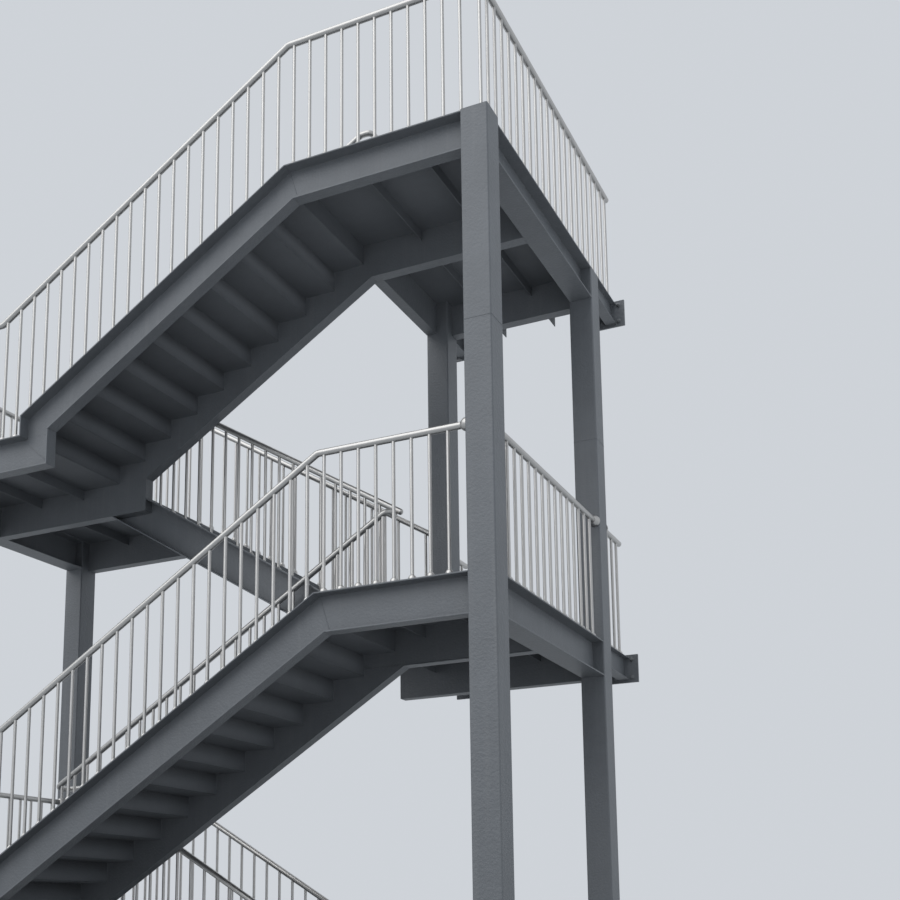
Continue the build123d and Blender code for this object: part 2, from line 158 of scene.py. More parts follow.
# %% Lamp and floor
bpy.ops.object.light_add(type="SUN", rotation=(math.radians(38), math.radians(-22), 0))
lamp = bpy.context.object
lamp.name = "soft_sky_lamp"
lamp.data.energy = 1.45
lamp.data.angle = math.radians(70)

bpy.ops.mesh.primitive_plane_add(size=80, location=(-3, 1, 0))
floor = bpy.context.object
floor.name = "floor"
floor_paint = bpy.data.materials.new("pale_floor")
floor_paint.use_nodes = True
tree = floor_paint.node_tree
shader = tree.nodes["Principled BSDF"]
shader.inputs["Roughness"].default_value = 0.9
place = add_node(tree, "ShaderNodeTexCoord")
away = add_node(tree, "ShaderNodeVectorMath", operation="LENGTH")
wire(tree, place, "Object", away, 0)
dimmed = add_node(tree, "ShaderNodeMapRange", From_Min=3.5, From_Max=10, To_Min=0.1, To_Max=0.92)
wire(tree, away, "Value", dimmed, "Value")
mix = add_node(tree, "ShaderNodeMix", data_type="RGBA")
mix.inputs["B"].default_value = (0.54, 0.55, 0.56, 1)
wire(tree, seen_mask(tree), 0, mix, "Factor")
wire(tree, dimmed, "Result", mix, "A")
wire(tree, mix, "Result", shader, "Base Color")
floor.data.materials.append(floor_paint)
bpy.ops.object.select_all(action="DESELECT")
print("floor", tuple(floor.dimensions.xy), "lamp", lamp.data.energy)

# %% [markdown]
# The fire coat is a thick blue-grey paint that was sprayed on. Close by it has the skin of an
# orange, and further off it is a little uneven, with faint streaks where rain runs down.
# Each effect is a small group of nodes, so that every finish can take it with its own values.

# %% Groups for sprayed paint and rain streaks


def new_group(name, inputs, outputs):
    """Starts a shader group of numbers; returns it with the nodes at its two ends."""
    group = bpy.data.node_groups.new(name, "ShaderNodeTree")
    for label, value in inputs.items():
        socket = group.interface.new_socket(label, in_out="INPUT", socket_type="NodeSocketFloat")
        socket.default_value = value
    for label in outputs:
        group.interface.new_socket(label, in_out="OUTPUT", socket_type="NodeSocketFloat")
    return group, add_node(group, "NodeGroupInput"), add_node(group, "NodeGroupOutput")


orange_peel, start, end = new_group("orange_peel", {"Size": 0.008}, ["Height", "Blotches"])
place = add_node(orange_peel, "ShaderNodeTexCoord")
scale = add_node(orange_peel, "ShaderNodeMath", operation="DIVIDE")
scale.inputs[0].default_value = 0.7
wire(orange_peel, start, "Size", scale, 1)
dimples = add_node(orange_peel, "ShaderNodeTexNoise", Detail=2.5, Roughness=0.55)
wire(orange_peel, place, "Object", dimples, "Vector")
wire(orange_peel, scale, 0, dimples, "Scale")
wire(orange_peel, dimples, 0, end, "Height")
blotches = add_node(orange_peel, "ShaderNodeTexNoise", Scale=1.9, Detail=6.0, Roughness=0.72)
wire(orange_peel, place, "Object", blotches, "Vector")
wire(orange_peel, blotches, 0, end, "Blotches")

rain_streaks, start, end = new_group("rain_streaks", {"Width": 0.03}, ["Mask"])
place = add_node(rain_streaks, "ShaderNodeTexCoord")
stretch = add_node(rain_streaks, "ShaderNodeMapping", Scale=(1.0, 1.0, 0.035))
wire(rain_streaks, place, "Object", stretch, "Vector")
scale = add_node(rain_streaks, "ShaderNodeMath", operation="DIVIDE")
scale.inputs[0].default_value = 0.5
wire(rain_streaks, start, "Width", scale, 1)
runs = add_node(rain_streaks, "ShaderNodeTexNoise", Detail=3.0, Roughness=0.6)
wire(rain_streaks, stretch, "Vector", runs, "Vector")
wire(rain_streaks, scale, 0, runs, "Scale")
narrow = add_node(rain_streaks, "ShaderNodeMapRange", From_Min=0.52, From_Max=0.78)
wire(rain_streaks, runs, 0, narrow, "Value")
wire(rain_streaks, narrow, "Result", end, "Mask")
print("paint groups:", orange_peel.name, rain_streaks.name)

# %% [markdown]
# Two paints share one recipe. A mask of large soft blotches mixes a lighter and a darker tone of
# the colour, the rain streaks wash it paler, and the fine skin only raises the surface. The
# underside of the steps is sprayed thinner than the beams, so its paint gets a finer skin. Its
# colour is also darker than the fire coat, and that is painted shade for the shade under the
# steps.

# %% Blue-grey fire coat


def tint(tree, colour, light, dark, mask):
    """Mixes two shades of a colour by a mask and returns the mixing node."""
    mix = add_node(tree, "ShaderNodeMix", data_type="RGBA")
    mix.inputs["A"].default_value = (*[c * dark for c in colour], 1)
    mix.inputs["B"].default_value = (*[c * light for c in colour], 1)
    wire(tree, mask[0], mask[1], mix, "Factor")
    return mix


def paint(name, colour, roughness, peel_size, peel_depth, streak):
    """A sprayed paint: blotchy colour, pale rain streaks and an orange-peel skin."""
    material = bpy.data.materials.new(name)
    material.use_nodes = True
    tree = material.node_tree
    shader = tree.nodes["Principled BSDF"]
    shader.inputs["Roughness"].default_value = roughness
    peel = add_node(tree, "ShaderNodeGroup", node_tree=orange_peel, Size=peel_size)
    streaks = add_node(tree, "ShaderNodeGroup", node_tree=rain_streaks)
    shade = tint(tree, colour, 1.22, 0.78, (peel, "Blotches"))
    strength = add_node(tree, "ShaderNodeMath", operation="MULTIPLY")
    strength.inputs[1].default_value = streak
    wire(tree, streaks, "Mask", strength, 0)
    washed = add_node(tree, "ShaderNodeMix", data_type="RGBA")
    washed.inputs["B"].default_value = (*[0.5 * c + 0.12 for c in colour], 1)
    wire(tree, strength, 0, washed, "Factor")
    wire(tree, shade, "Result", washed, "A")
    wire(tree, washed, "Result", shader, "Base Color")
    bump = add_node(tree, "ShaderNodeBump", Strength=0.7, Distance=peel_depth)
    wire(tree, peel, "Height", bump, "Height")
    wire(tree, bump, "Normal", shader, "Normal")
    return material


fire_coat = paint("blue_grey_fire_coat", (0.130, 0.139, 0.151), 0.46, 0.013, 0.0050, 0.30)
# The deck paint's darker colour is painted shade for the undersides of the steps.
deck_paint_with_painted_shade = paint("blue_grey_deck_paint_with_painted_shade", (0.112, 0.120, 0.131), 0.66, 0.010, 0.0015, 0.05)
print("paints:", fire_coat.name, deck_paint_with_painted_shade.name)

# %% [markdown]
# The railings are satin stainless tube. The grain is fine and runs along each tube, and it shows
# as long faint lines in the gloss. A metal's colour is its reflection, so the base stays plain.
# The bolts are dull zinc, which the same recipe gives with a darker base and a rougher gloss.
# The darker base is partly painted shade, for the shade that lies on the bolts.

# %% Satin stainless and zinc


def satin(name, stretch_scale, colour=(0.54, 0.53, 0.515), gloss=(0.30, 0.48)):
    """Bare metal with a grain along the axis that the scale leaves small."""
    material = bpy.data.materials.new(name)
    material.use_nodes = True
    tree = material.node_tree
    shader = tree.nodes["Principled BSDF"]
    shader.inputs["Metallic"].default_value = 1.0
    place = add_node(tree, "ShaderNodeTexCoord")
    stretch = add_node(tree, "ShaderNodeMapping", Scale=stretch_scale)
    wire(tree, place, "Object", stretch, "Vector")
    grain = add_node(tree, "ShaderNodeTexNoise", Scale=1.0, Detail=3.0, Roughness=0.6)
    wire(tree, stretch, "Vector", grain, "Vector")
    smears = add_node(tree, "ShaderNodeTexNoise", Scale=6.0, Detail=3.0)
    wire(tree, place, "Object", smears, "Vector")
    shade = tint(tree, colour, 1.04, 0.92, (smears, 0))
    wire(tree, shade, "Result", shader, "Base Color")
    dull = add_node(tree, "ShaderNodeMapRange", To_Min=gloss[0], To_Max=gloss[1])
    wire(tree, grain, 0, dull, "Value")
    wire(tree, dull, "Result", shader, "Roughness")
    bump = add_node(tree, "ShaderNodeBump", Strength=0.25, Distance=0.0003)
    wire(tree, grain, 0, bump, "Height")
    wire(tree, bump, "Normal", shader, "Normal")
    return material


satin_bar = satin("satin_stainless_bar", (900, 900, 8))
satin_rail = satin("satin_stainless_rail", (10, 700, 700))
# Dull zinc, whose dark base is partly painted shade on the bolts.
dull_zinc_with_painted_shade = satin("dull_zinc_with_painted_shade", (40, 40, 40), (0.25, 0.26, 0.27), (0.50, 0.68))
print("metals:", satin_bar.name, satin_rail.name, dull_zinc_with_painted_shade.name)

# %% [markdown]
# Two steep lines rule the whole stair: the line over the noses of the steps in the lower flights
# and in the upper ones. A small class holds such a line, so that bars, rails and welds can ask it
# for a height at any distance down the flight.

# %% Levels, edges and flights
level_half_low, level_main, level_half_high, level_top = 1.903, 3.979, 5.669, 7.359
edge_main, edge_half_low, edge_foot, edge_half_high = -1.295, -4.375, -1.575, -4.095
going = 0.28
near_walk, far_walk = (0.005, 1.135), (1.235, 2.365)


class Flight:
    """A flight seen from its upper edge: distances run down it, negative on the landing above."""

    def __init__(self, edge, top, riser, steps, side, walk):
        self.edge, self.top, self.riser, self.side = edge, top, riser, side
        self.steps, self.walk = steps, walk
        self.run = (steps - 1) * going
        self.slope = riser / going
        self.low = top - steps * riser

    def x(self, distance):
        return self.edge + self.side * distance

    def nose(self, distance):
        return self.top if distance <= 0 else max(self.top - self.slope * distance, self.low)

    def tread(self, distance):
        if distance <= 0:
            return self.top
        if distance >= self.run:
            return self.low
        return self.top - (int(distance / going) + 1) * self.riser


flight_1 = Flight(edge_half_low, level_half_low, 0.173, 11, 1, far_walk)
flight_2 = Flight(edge_main, level_main, 0.173, 12, -1, near_walk)
flight_3 = Flight(edge_half_high, level_half_high, 0.169, 10, 1, far_walk)
flight_4 = Flight(edge_foot, level_top, 0.169, 10, -1, near_walk)
flights = (flight_1, flight_2, flight_3, flight_4)
print("flight slopes", [round(math.degrees(math.atan(f.slope)), 1) for f in flights])

# %% [markdown]
# The steelwork has its right shape already, but it is all sharp edges and loose triangles. So
# each node is copied, and the triangles are merged into clean faces that a bevel can follow. The
# copy is named after its node, given its paint and laid on the stair, and the node is hidden.

# %% Copies of the steelwork


def select_only(piece):
    """Makes one object the only one selected, and active."""
    bpy.ops.object.select_all(action="DESELECT")
    piece.select_set(True)
    bpy.context.view_layer.objects.active = piece


def settle(piece, material, slot, *stands_for):
    """Gives a finished piece its material, and lays it on the stair; the slot is not used."""
    piece.data.materials.clear()
    piece.data.materials.append(material)
    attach(piece, "root")
    if stands_for:
        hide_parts(*stands_for)
    return piece


def merged_copy(node):
    """A copy of a node, its loose triangles merged into clean faces."""
    piece = bpy.data.objects.new(f"{node}_coated", nodes[node].data.copy())
    scene.collection.objects.link(piece)
    select_only(piece)
    bpy.ops.object.mode_set(mode="EDIT")
    bpy.ops.mesh.select_all(action="SELECT")
    bpy.ops.mesh.remove_doubles(threshold=0.00005)
    bpy.ops.mesh.dissolve_limited(angle_limit=math.radians(1))
    bpy.ops.mesh.select_all(action="DESELECT")
    bpy.ops.object.mode_set(mode="OBJECT")
    return piece


steelwork = [n for n in sorted(nodes) if not n.startswith("railing") and not n.endswith("steps")]
print("nodes to coat", len(steelwork))

# %% [markdown]
# On the real stair the tubes have round corners, and the flanges of the channels have round
# toes. A bevel on every edge would round too much, so these long edges are picked by their place:
# a tube's corners stand upright, and a toe lies beside a long face that is as narrow as a flange.

# %% Long edges that are rounded
corner_radius, toe_radius, flange_limit = 0.012, 0.0035, 0.016
long_edge = 0.25


def tube_corners(mesh):
    """The long upright edges of a column."""
    for edge in mesh.edges:
        ends = [mesh.vertices[i].co for i in edge.vertices]
        along = ends[1] - ends[0]
        if abs(along.z) > 2 * long_edge and along.xy.length < 1e-4:
            yield edge


def flange_toes(mesh):
    """The long edges of the narrow faces in which flanges end."""
    toes = set()
    for face in mesh.polygons:
        lengths = {
            (a, b): (mesh.vertices[a].co - mesh.vertices[b].co).length for a, b in face.edge_keys
        }
        narrow = face.area < 0.5 * flange_limit * sum(lengths.values())
        if narrow and len(lengths) < 8:
            toes.update(key for key, length in lengths.items() if length > long_edge)
    for edge in mesh.edges:
        if edge.key in toes:
            yield edge


def round_edges(piece, edges, radius, segments):
    """Bevels the given edges of a piece; the others stay as they are."""
    count = 0
    for edge in edges(piece.data):
        edge.select = True
        count += 1
    scene.tool_settings.mesh_select_mode = (False, True, False)
    bpy.ops.object.mode_set(mode="EDIT")
    bpy.ops.mesh.bevel(offset=radius, segments=segments, affect="EDGES")
    bpy.ops.mesh.select_all(action="DESELECT")
    bpy.ops.mesh.select_mode(type="VERT")
    bpy.ops.object.mode_set(mode="OBJECT")
    return count


print("radius of tube corners", corner_radius, "and of flange toes", toe_radius)

# %% [markdown]
# Thick paint softens every other edge, which a fine bevel by a modifier shows. Where bevels meet,
# it leaves a few faces without area; these are taken out. Normals weighted by area then keep the
# large faces flat, and let only the small round ones shade smoothly.

# %% Coated steelwork


def tidy_slivers(piece, box):
    """Takes out faces without area, and keeps the paint within the box of the steel."""
    bpy.ops.object.mode_set(mode="EDIT")
    bpy.ops.mesh.select_all(action="SELECT")
    bpy.ops.mesh.dissolve_degenerate(threshold=0.00015)
    bpy.ops.mesh.select_all(action="DESELECT")
    bpy.ops.object.mode_set(mode="OBJECT")
    for vertex in piece.data.vertices:
        vertex.co = [min(max(c, low), high) for c, low, high in zip(vertex.co, *box)]


def shade_flats(piece):
    """Smooths the small round faces and keeps the large ones flat."""
    bpy.ops.object.shade_smooth_by_angle(angle=math.radians(50))
    flats = piece.modifiers.new("flat_faces", "WEIGHTED_NORMAL")
    flats.weight = 100
    flats.keep_sharp = True
    bpy.ops.object.modifier_apply(modifier=flats.name)


def coated(node, material, softened, edges=None, radius=0.0, segments=3):
    """A copy of a node, its long edges rounded and the others softened by paint."""
    piece = merged_copy(node)
    if edges:
        print(node, round_edges(piece, edges, radius, segments), "long edges rounded")
    bevel = piece.modifiers.new("paint_edge", "BEVEL")
    bevel.width = softened
    bevel.segments = 2
    bevel.limit_method = "ANGLE"
    bevel.angle_limit = math.radians(30)
    bpy.ops.object.modifier_apply(modifier=bevel.name)
    tidy_slivers(piece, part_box(node))
    shade_flats(piece)
    return settle(piece, material, "blue_grey_paint", node)


for node in steelwork:
    if node.startswith("column"):
        coated(node, fire_coat, 0.0014, tube_corners, corner_radius, 4)
    elif node.endswith(("strings", "beams", "beam", "ties")):
        coated(node, fire_coat, 0.0012, flange_toes, toe_radius)
    else:
        coated(node, deck_paint_with_painted_shade, 0.0012)
print("coated pieces", len(steelwork))

# %% [markdown]
# A step is one plate that was folded in a press, so its nose is round and not sharp. In the
# merged copy the edges on the line of the noses are picked by their place, and bevelled alone.
# The other edges stay sharp, because they meet their neighbours in a thin seam.

# %% Folded steps
fold_radius = 0.007


def nose_edges(flight):
    """Returns a picker of the edges on the line of a flight's noses."""
    noses = [(flight.x(k * going), flight.top - k * flight.riser) for k in range(flight.steps)]

    def pick(mesh):
        for edge in mesh.edges:
            ends = [mesh.vertices[i].co for i in edge.vertices]
            for x, z in noses:
                if all(abs(end.x - x) < 1e-4 and abs(end.z - z) < 1e-4 for end in ends):
                    yield edge

    return pick


for number, flight in enumerate(flights, 1):
    node = f"flight_{number}_steps"
    piece = merged_copy(node)
    folds = round_edges(piece, nose_edges(flight), fold_radius, 3)
    tidy_slivers(piece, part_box(node))
    shade_flats(piece)
    settle(piece, deck_paint_with_painted_shade, "blue_grey_paint", node)
    print(piece.name, folds, "folds")

# %% [markdown]
# Welds, bolts and thin plates aren't in the measured frame, and the tubes there are coarse, so all
# these are drawn here. Each starts as an empty mesh whose origin lies at the origin of the stair.
# What is added in edit mode then has its right place at once, and repeats are made by an array.

# %% Pieces drawn by hand
origin = (0, 0, 0)


def new_piece(name):
    """An empty mesh object at the origin, open for editing."""
    bpy.ops.object.select_all(action="DESELECT")
    bpy.ops.object.add(type="MESH", location=origin)
    piece = bpy.context.object
    piece.name = name
    bpy.ops.object.mode_set(mode="EDIT")
    return piece


def close_piece(piece, angle=40):
    """Leaves edit mode and smooths the shading of round faces."""
    bpy.ops.object.mode_set(mode="OBJECT")
    bpy.ops.object.shade_smooth_by_angle(angle=math.radians(angle))
    return piece


def repeat(piece, count, step):
    """Repeats the active piece along a step, by an array that is applied."""
    row = piece.modifiers.new("row", "ARRAY")
    row.count = count
    row.use_relative_offset = False
    row.use_constant_offset = True
    row.constant_offset_displace = step
    bpy.ops.object.modifier_apply(modifier=row.name)
    return piece


print("new pieces have their origin at", origin)

# %% [markdown]
# The stair was welded on site and painted over. Where a riser stands on the next tread, a thin
# round bead closes the seam on both sides, and where a step ends at a string another bead runs
# round the fold. The beads of one step are rods of six sides, and an array carries them down.

# %% Weld beads of the steps
thick_bead, thin_bead, ground_bead = 0.0035, 0.003, 0.0025
step_plate, bead_lift = 0.006, 0.001


def bead(start, end, radius=thick_bead):
    """Adds a thin six-sided rod between two points to the open piece."""
    start, along = Vector(start), Vector(end) - Vector(start)
    bpy.ops.mesh.primitive_cylinder_add(
        vertices=6,
        radius=radius,
        depth=along.length,
        location=start + along / 2,
        rotation=along.to_track_quat("Z", "Y").to_euler(),
    )


for number, flight in enumerate(flights, 1):
    near, far = flight.walk
    joint, back = flight.x(bead_lift), flight.x(-step_plate + bead_lift)
    nose = flight.x(going - step_plate)
    tread = flight.top - flight.riser
    under, next_tread = tread - step_plate, tread - flight.riser
    down = (flight.side * going, 0, -flight.riser)
    joints = flight.steps if flight is not flight_1 else flight.steps - 1
    seams = new_piece(f"flight_{number}_seam_welds")
    bead((joint, near, tread + bead_lift), (joint, far, tread + bead_lift))
    bead((back, near, tread), (back, far, tread), thin_bead)
    repeat(close_piece(seams), joints, down)
    settle(seams, deck_paint_with_painted_shade, "blue_grey_paint")

    ends = new_piece(f"flight_{number}_end_welds")
    for y in flight.walk:
        bead((back, y, under), (nose, y, under))
        bead((nose, y, under), (nose, y, next_tread))
    repeat(close_piece(ends), flight.steps - 1, down)
    settle(ends, deck_paint_with_painted_shade, "blue_grey_paint")
print("weld beads of", len(flights), "flights")

# %% [markdown]
# Where the steps run beside the open side of a channel, the channel is boxed in with a plate, so
# that a step has something to end on. Small plates also fill the corners between a floor plate
# and its columns. Each starts as a cube that is sized in place, and its long edges are eased.

# %% Closing plates and corner plates
floor_plate, plate_easing = 0.006, 0.001
closing_low, closing_high = 0.287, 0.013
left_corner_x, right_corner_x = (-5.514, -5.501), (-0.119, -0.106)
corner_y = {"front": (0.006, 0.104), "back": (2.266, 2.364)}


def plate(name, x, y, z):
    """A plate between the pairs x, y and z."""
    piece = new_piece(name)
    centre = Vector((sum(x) / 2, sum(y) / 2, sum(z) / 2))
    bpy.ops.mesh.primitive_cube_add(size=1, location=centre)
    spread = (x[1] - x[0], y[1] - y[0], z[1] - z[0])
    bpy.ops.transform.resize(value=spread, center_override=centre)
    bpy.ops.mesh.bevel(offset=plate_easing, segments=1, affect="EDGES")
    return settle(close_piece(piece, 20), fire_coat, "blue_grey_paint")


for name, level, x, y in (
    ("main_landing", level_main, (-1.863, -0.121), (1.136, 1.144)),
    ("half_landing_lower", level_half_low, (-5.499, -4.097), (1.226, 1.234)),
    ("half_landing_upper", level_half_high, (-5.499, -3.807), (1.226, 1.234)),
):
    plate(f"{name}_closing_plate", x, y, (level - closing_low, level - closing_high))

for name, level, x, sides in (
    ("half_landing_lower", level_half_low, left_corner_x, ("front", "back")),
    ("half_landing_upper", level_half_high, left_corner_x, ("front", "back")),
    ("main_landing", level_main, right_corner_x, ("front",)),
    ("top_landing", level_top, right_corner_x, ("front",)),
):
    for side in sides:
        plate(f"{name}_{side}_corner_plate", x, corner_y[side], (level - floor_plate, level))
print("closing plates and corner plates")

# %% [markdown]
# At the top of a flight the outer string is cut on the half angle and welded to the landing's
# beam. At its foot it stands on the beam with an upright cut and a slanted one. The welds are
# ground low and painted over, so thin beads on the web show them well enough.

# %% Welds of the outer strings
string_depth, flange_inset = 0.300, 0.012
near_web, far_web = -0.004, 2.374
for name, flight, web in (
    ("main_landing", flight_2, near_web),
    ("top_landing", flight_4, near_web),
    ("half_landing_lower", flight_1, far_web),
    ("half_landing_upper", flight_3, far_web),
):
    mitre = string_depth * math.tan(math.atan(flight.slope) / 2)
    seam = new_piece(f"{name}_mitre_weld")
    high, low = flight.top - flange_inset, flight.top - string_depth + flange_inset
    bead((flight.x(0), web, high), (flight.x(-mitre), web, low))
    settle(close_piece(seam), fire_coat, "blue_grey_paint")

# The upright cut, as distances before the end of the steps and drops under the beam's top.
cut_top, cut_turn, heel_inset = (0.013, 0.002), (0.018, 0.064), 0.014
for name, flight, web in (
    ("half_landing_lower", flight_2, near_web),
    ("half_landing_upper", flight_4, near_web),
    ("main_landing", flight_3, far_web),
):
    heel = (string_depth / math.cos(math.atan(flight.slope)) - flight.riser) / flight.slope
    foot, low = flight.run, flight.low
    start = (flight.x(foot - cut_top[0]), web, low - cut_top[1])
    bend = (flight.x(foot - cut_turn[0]), web, low - cut_turn[1])
    end = (flight.x(foot - heel + heel_inset), web, low - string_depth + heel_inset)
    seam = new_piece(f"{name}_foot_weld")
    bead(start, bend, thin_bead)
    bead(bend, end, thin_bead)
    settle(close_piece(seam), fire_coat, "blue_grey_paint")
print("mitre and foot welds on strings", string_depth, "deep")

# %% [markdown]
# A column is longer than its tubes, so two of them were butt-welded, and the weld was ground back
# to a low band. Short beads are laid round the column, along its faces and corners.

# %% Butt welds of the tall columns
weld_level, column_half = 5.76, 0.105
for side in ("front", "back"):
    low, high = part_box(f"column_{side}_right")
    middle = (low + high) / 2
    centre = Vector((middle.x, middle.y, weld_level))
    path = []
    for quarter in range(4):
        diagonal = math.radians(90 * quarter + 45)
        corner = Vector((math.cos(diagonal), math.sin(diagonal), 0)) * math.sqrt(2)
        for angle in (0, 45, 90):
            turned = math.radians(90 * quarter + angle)
            out = Vector((math.cos(turned), math.sin(turned), 0))
            path.append(centre + corner * (column_half - corner_radius) + out * corner_radius)
    seam = new_piece(f"column_{side}_right_butt_weld")
    for point, after in zip(path, path[1:] + path[:1]):
        bead(point, after, ground_bead)
    settle(close_piece(seam), fire_coat, "blue_grey_paint")
print("butt welds at", weld_level)

# %% [markdown]
# A bolt end is a washer, a nut and the threaded end that stands out of it. Each is a cylinder
# whose rim is eased by a bevel. One bolt is modelled and turned to its plate, and arrays set the
# others. In the wall plates a plain shank fills the hole behind each nut.

# %% Bolts of the wall plates and the base plates
wall_thread, wall_nut = (0.010, 0.012), (0.0173, 0.016)
anchor_thread, anchor_nut = (0.012, 0.020), (0.0208, 0.019)
washer, rim_share = (0.022, 0.004), 0.14
plate_front, plate_drop, wall_plate, base_plate = 2.995, 0.100, 0.020, 0.025
wall_bolts_across, wall_bolts_up, anchors_across = 0.150, 0.160, 0.300
tie_right_x, tie_left_x, shank_shift = 0.030, -1.475, 0.0005


def bolt_end(name, seat, normal, *parts):
    """Cylinders on a seat, one on the next; a part is (number of sides, (radius, height))."""
    piece = new_piece(name)
    turned = normal.to_track_quat("Z", "Y").to_euler()
    height = 0.0
    for vertices, (radius, rise) in parts:
        bpy.ops.mesh.select_all(action="DESELECT")
        centre = seat + normal * (height + rise / 2)
        bpy.ops.mesh.primitive_cylinder_add(
            vertices=vertices, radius=radius, depth=rise, location=centre, rotation=turned
        )
        rim = rim_share * min(rise, radius)
        bpy.ops.mesh.bevel(offset=rim, segments=1, affect="EDGES")
        height += rise
    return close_piece(piece, 30)


def four_bolts(piece):
    """Repeats the active bolt over the four holes of a wall plate."""
    repeat(piece, 2, (wall_bolts_across, 0, 0))
    return repeat(piece, 2, (0, 0, wall_bolts_up))


for level, name in ((level_main, "main"), (level_top, "top")):
    for x, side in ((tie_right_x, "right"), (tie_left_x, "left")):
        low = level - plate_drop - wall_bolts_up / 2
        corner = Vector((x - wall_bolts_across / 2, plate_front, low))
        parts = ((20, washer), (6, wall_nut), (12, wall_thread))
        bolts = bolt_end(f"{name}_{side}_wall_bolts", corner, Vector((0, -1, 0)), *parts)
        settle(four_bolts(bolts), dull_zinc_with_painted_shade, "satin_stainless")
        shanks = new_piece(f"{name}_{side}_wall_shanks")
        bpy.ops.mesh.primitive_cylinder_add(
            vertices=12,
            radius=wall_thread[0],
            depth=wall_plate,
            location=(corner.x, plate_front + wall_plate / 2 - shank_shift, corner.z),
            rotation=(math.pi / 2, 0, 0),
        )
        settle(four_bolts(close_piece(shanks)), dull_zinc_with_painted_shade, "satin_stainless")

for place in ("front_right", "back_right", "front_left", "back_left"):
    low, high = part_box(f"column_{place}")
    seat = Vector(((low.x + high.x - anchors_across) / 2, (low.y + high.y) / 2, base_plate))
    parts = ((20, washer), (6, anchor_nut), (12, anchor_thread))
    anchors = bolt_end(f"column_{place}_anchors", seat, Vector((0, 0, 1)), *parts)
    repeat(anchors, 2, (anchors_across, 0, 0))
    settle(anchors, dull_zinc_with_painted_shade, "satin_stainless")
print("bolts on the plates")

# %% [markdown]
# Treads and floor plates are rolled chequer plate. Its raised lozenges lie in two directions and
# stand about two millimetres high. One is a flat pyramid of four sides, stretched and turned. A
# second is turned the other way beside it, and two arrays spread the pair over the plate.

# %% Chequer pattern of the treads
lozenge_pitch, plain_rim = 0.036, 0.02
lozenge_radius, lozenge_height, lozenge_width, sunk = 0.013, 0.002, 0.3, 0.0003
behind_riser, before_nose = 0.006, 0.010


def chequer(name, x, y, level):
    """Lozenges over a level area between the pairs x and y."""
    width, depth = x[1] - x[0], y[1] - y[0]
    columns = int((width - plain_rim) / lozenge_pitch)
    rows = int((depth - plain_rim) / lozenge_pitch)
    first_x = x[0] + (width - columns * lozenge_pitch) / 2
    first_y = y[0] + (depth - rows * lozenge_pitch) / 2
    piece = new_piece(name)
    for index, angle in enumerate((math.pi / 4, -math.pi / 4)):
        bpy.ops.mesh.select_all(action="DESELECT")
        shift = (0.25 + 0.5 * index) * lozenge_pitch
        middle = level + lozenge_height / 2 - sunk
        centre = Vector((first_x + shift, first_y + shift, middle))
        bpy.ops.mesh.primitive_cone_add(
            vertices=4, radius1=lozenge_radius, radius2=0, depth=lozenge_height, location=centre
        )
        bpy.ops.transform.resize(value=(1, lozenge_width, 1), center_override=centre)
        bpy.ops.transform.rotate(value=angle, orient_axis="Z", center_override=centre)
    close_piece(piece, 20)
    repeat(piece, columns, (lozenge_pitch, 0, 0))
    return repeat(piece, rows, (0, lozenge_pitch, 0))


for number, flight in enumerate(flights, 1):
    x = sorted((flight.x(behind_riser), flight.x(going - before_nose)))
    pattern = chequer(f"flight_{number}_chequer", x, flight.walk, flight.top - flight.riser)
    repeat(pattern, flight.steps - 1, (flight.side * going, 0, -flight.riser))
    settle(pattern, deck_paint_with_painted_shade, "blue_grey_paint")
    print(pattern.name, len(pattern.data.polygons), "faces")

# %% [markdown]
# A floor is covered in patches, one before each flight. The main and top landings have a third
# patch between their ties. Each patch is as wide as whole lozenges allow.

# %% Chequer pattern of the floors
low_half_x, high_half_x = (-5.50, -4.40), (-5.50, -4.12)
far_floor_y, passage = (1.235, 2.265), ((-1.42, -0.02), (2.475, 2.985))
main_near, main_far = ((-1.27, -0.12), near_walk), ((-1.56, -0.12), far_floor_y)
top_near, top_far = ((-1.55, -0.12), near_walk), ((-1.42, -0.12), far_floor_y)
for name, level, areas in (
    ("half_landing_lower", level_half_low, ((low_half_x, near_walk), (low_half_x, far_walk))),
    ("half_landing_upper", level_half_high, ((high_half_x, near_walk), (high_half_x, far_walk))),
    ("main_landing", level_main, (main_near, main_far, passage)),
    ("top_landing", level_top, (top_near, top_far, passage)),
):
    for number, (x, y) in enumerate(areas, 1):
        pattern = chequer(f"{name}_chequer_{number}", x, y, level)
        settle(pattern, deck_paint_with_painted_shade, "blue_grey_paint")
        print(pattern.name, len(pattern.data.polygons), "faces")

# %% [markdown]
# A railing is a row of upright bars under a round handrail. All the railings share their sizes:
# heights over the noses, radii, pitch, lines in plan and the faces of columns that they end on.

# %% Sizes of the railings
rail_axis, inner_rail_axis = 1.0435, 1.0185
rail_radius, bar_radius = 0.0255, 0.0127
rail_bend, bend_corner = 0.05, 2 * rail_radius
bar_pitch, bar_offset = going / 2, 0.055
first_bar = 0.024
near_y, far_y, near_inner_y, far_inner_y = -0.045, 2.415, 1.1065, 1.2635
end_x, left_x, guard_x = 0.035, -5.655, -1.475
left_column_x, right_column_x, upper_column_x = -5.515, -0.105, -1.525
front_column_y, back_column_y, behind_column_y = 0.105, 2.265, 2.475
wall_end_y, guard_first_y = 2.960, 1.305
free_end, landing_reach = 0.12, 0.045
print("handrail", 2 * rail_radius, "bar", 2 * bar_radius, "pitch", bar_pitch)

# %% [markdown]
# A bar is a cylinder whose top runs up into the rail. A bell-shaped cup slides over each weld:
# small ones at the feet of the bars, large ones where a handrail meets a column. A cup starts as
# a disc on the steel, which is pulled out and drawn in several times. Its last ring is a little
# narrower than the tube and closes inside it.

# %% One bar and its foot
foot_cup = ((0.028, 0.014), (0.0262, 0.021), (0.0215, 0.029), (0.0122, 0.037))
bite = 0.002


